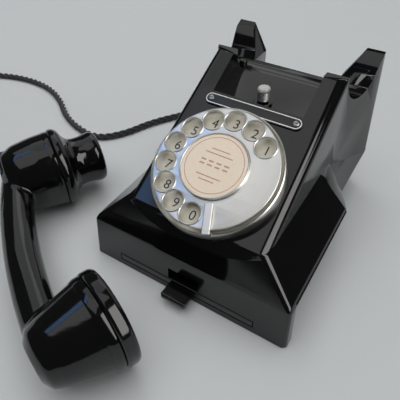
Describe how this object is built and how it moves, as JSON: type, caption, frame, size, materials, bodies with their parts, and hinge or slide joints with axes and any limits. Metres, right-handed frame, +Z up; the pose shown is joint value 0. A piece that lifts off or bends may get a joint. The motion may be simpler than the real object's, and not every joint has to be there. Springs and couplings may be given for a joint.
{
  "type": "rotary telephone",
  "caption": "Black moulded desk telephone with a steel rotary dial, cradle, call button, shallow base drawer and a corded handset lying off its cradle.",
  "frame": {"origin": "middle of the base, on the surface it stands on", "axes": "+Z up, the dial and the drawer face -Y, +X to the right of a person who faces the dial"},
  "size_m": [0.4916, 0.3026, 0.111],
  "materials": {
    "black_moulding": "polished moulded phenolic",
    "bright_steel": "polished",
    "plain_steel": "zinc plated",
    "brass": "turned",
    "ivory": "enamelled",
    "card": "paper card",
    "window": "clear",
    "white_button": "gloss",
    "rubber": "matte",
    "cord": "plaited cotton",
    "winding": "varnished",
    "board": "laminated"
  },
  "bodies": {
    "base": {"case_shell": "black_moulding", "base_plate": "plain_steel", "base_pad": "rubber", "case_screws": "plain_steel", "chassis_plate": "plain_steel", "dial_case": "bright_steel", "number_ring": "ivory", "finger_stop": "bright_steel", "dial_bridge": "plain_steel", "mainspring": "plain_steel", "pulse_springs": "brass", "governor_cup": "brass", "label_plate": "black_moulding", "label_screws": "plain_steel", "button_bush": "plain_steel", "button_spring": "plain_steel", "button_contacts": "brass", "switch_bracket": "plain_steel", "switch_pin": "plain_steel", "switch_springs": "brass", "cradle_spring": "plain_steel", "bell_gongs": "brass", "gong_posts": "plain_steel", "bell_coils": "winding", "bell_yoke": "plain_steel", "induction_coil": "winding", "capacitor": "plain_steel", "terminal_block": "board", "terminal_screws": "brass", "handset_cord": "cord", "handset_cord_lead": "cord", "cord_coil": "cord", "cord_tie": "cord", "cord_grommet": "rubber"},
    "dial": {"finger_wheel": "bright_steel", "wheel_screw": "plain_steel", "centre_ring": "bright_steel", "centre_card": "card", "card_window": "window", "dial_shaft": "plain_steel", "main_gear": "brass", "pulse_cam": "board"},
    "governor": {"governor_shaft": "plain_steel", "governor_weights": "brass"},
    "drawer": {"drawer_tray": "black_moulding", "drawer_pull": "black_moulding"},
    "button": {"call_button": "white_button"},
    "cradle": {"cradle_plungers": "black_moulding", "plunger_bar": "board"},
    "lever": {"switch_lever": "plain_steel"},
    "clapper": {"bell_clapper": "brass"},
    "handset": {"handset_handle": "black_moulding", "handset_gland": "rubber", "ear_cap": "black_moulding", "mouthpiece": "black_moulding", "receiver_capsule": "plain_steel", "transmitter_capsule": "plain_steel"}
  },
  "joints": [
    {"name": "dial_turn", "type": "hinge", "parent": "base", "child": "dial", "pos_m": [0, -0.041, 0.0712], "axis": [0, 0.4818, -0.8763], "range_deg": [0, 335], "stiffness_Nm_per_rad": 0.004, "springref_deg": -57.3},
    {"name": "governor_spin", "type": "hinge", "parent": "base", "child": "governor", "pos_m": [0.024, -0.041, 0.0712], "axis": [0, 0.4818, -0.8763], "range_deg": [-1345, 5]},
    {"name": "drawer_slide", "type": "slide", "parent": "base", "child": "drawer", "axis": [0, -1, 0], "range_m": [0, 0.03]},
    {"name": "button_press", "type": "slide", "parent": "base", "child": "button", "axis": [0, 0, -1], "range_m": [0, 0.0035], "stiffness_N_per_m": 250, "springref_m": -0.003, "deforming": ["button_spring"]},
    {"name": "cradle_press", "type": "slide", "parent": "base", "child": "cradle", "axis": [0, 0, -1], "range_m": [0, 0.0035], "stiffness_N_per_m": 300, "springref_m": -0.003, "deforming": ["cradle_spring"]},
    {"name": "lever_turn", "type": "hinge", "parent": "base", "child": "lever", "pos_m": [0.0145, 0.036, 0.075], "axis": [-1, 0, 0], "range_deg": [0, 12.2]},
    {"name": "clapper_swing", "type": "hinge", "parent": "base", "child": "clapper", "pos_m": [0, 0.044, 0.0238], "axis": [0, 0, 1], "range_deg": [-5.5, 5.5]},
    {"name": "handset_lift", "type": "slide", "parent": "base", "child": "handset", "axis": [0, 0, 1], "range_m": [0, 0.15]}
  ],
  "couplings": [
    {"joint": "governor_spin", "follows": "dial_turn", "ratio": -4},
    {"joint": "lever_turn", "follows": "cradle_press", "rad_per_m": 59.8}
  ]
}
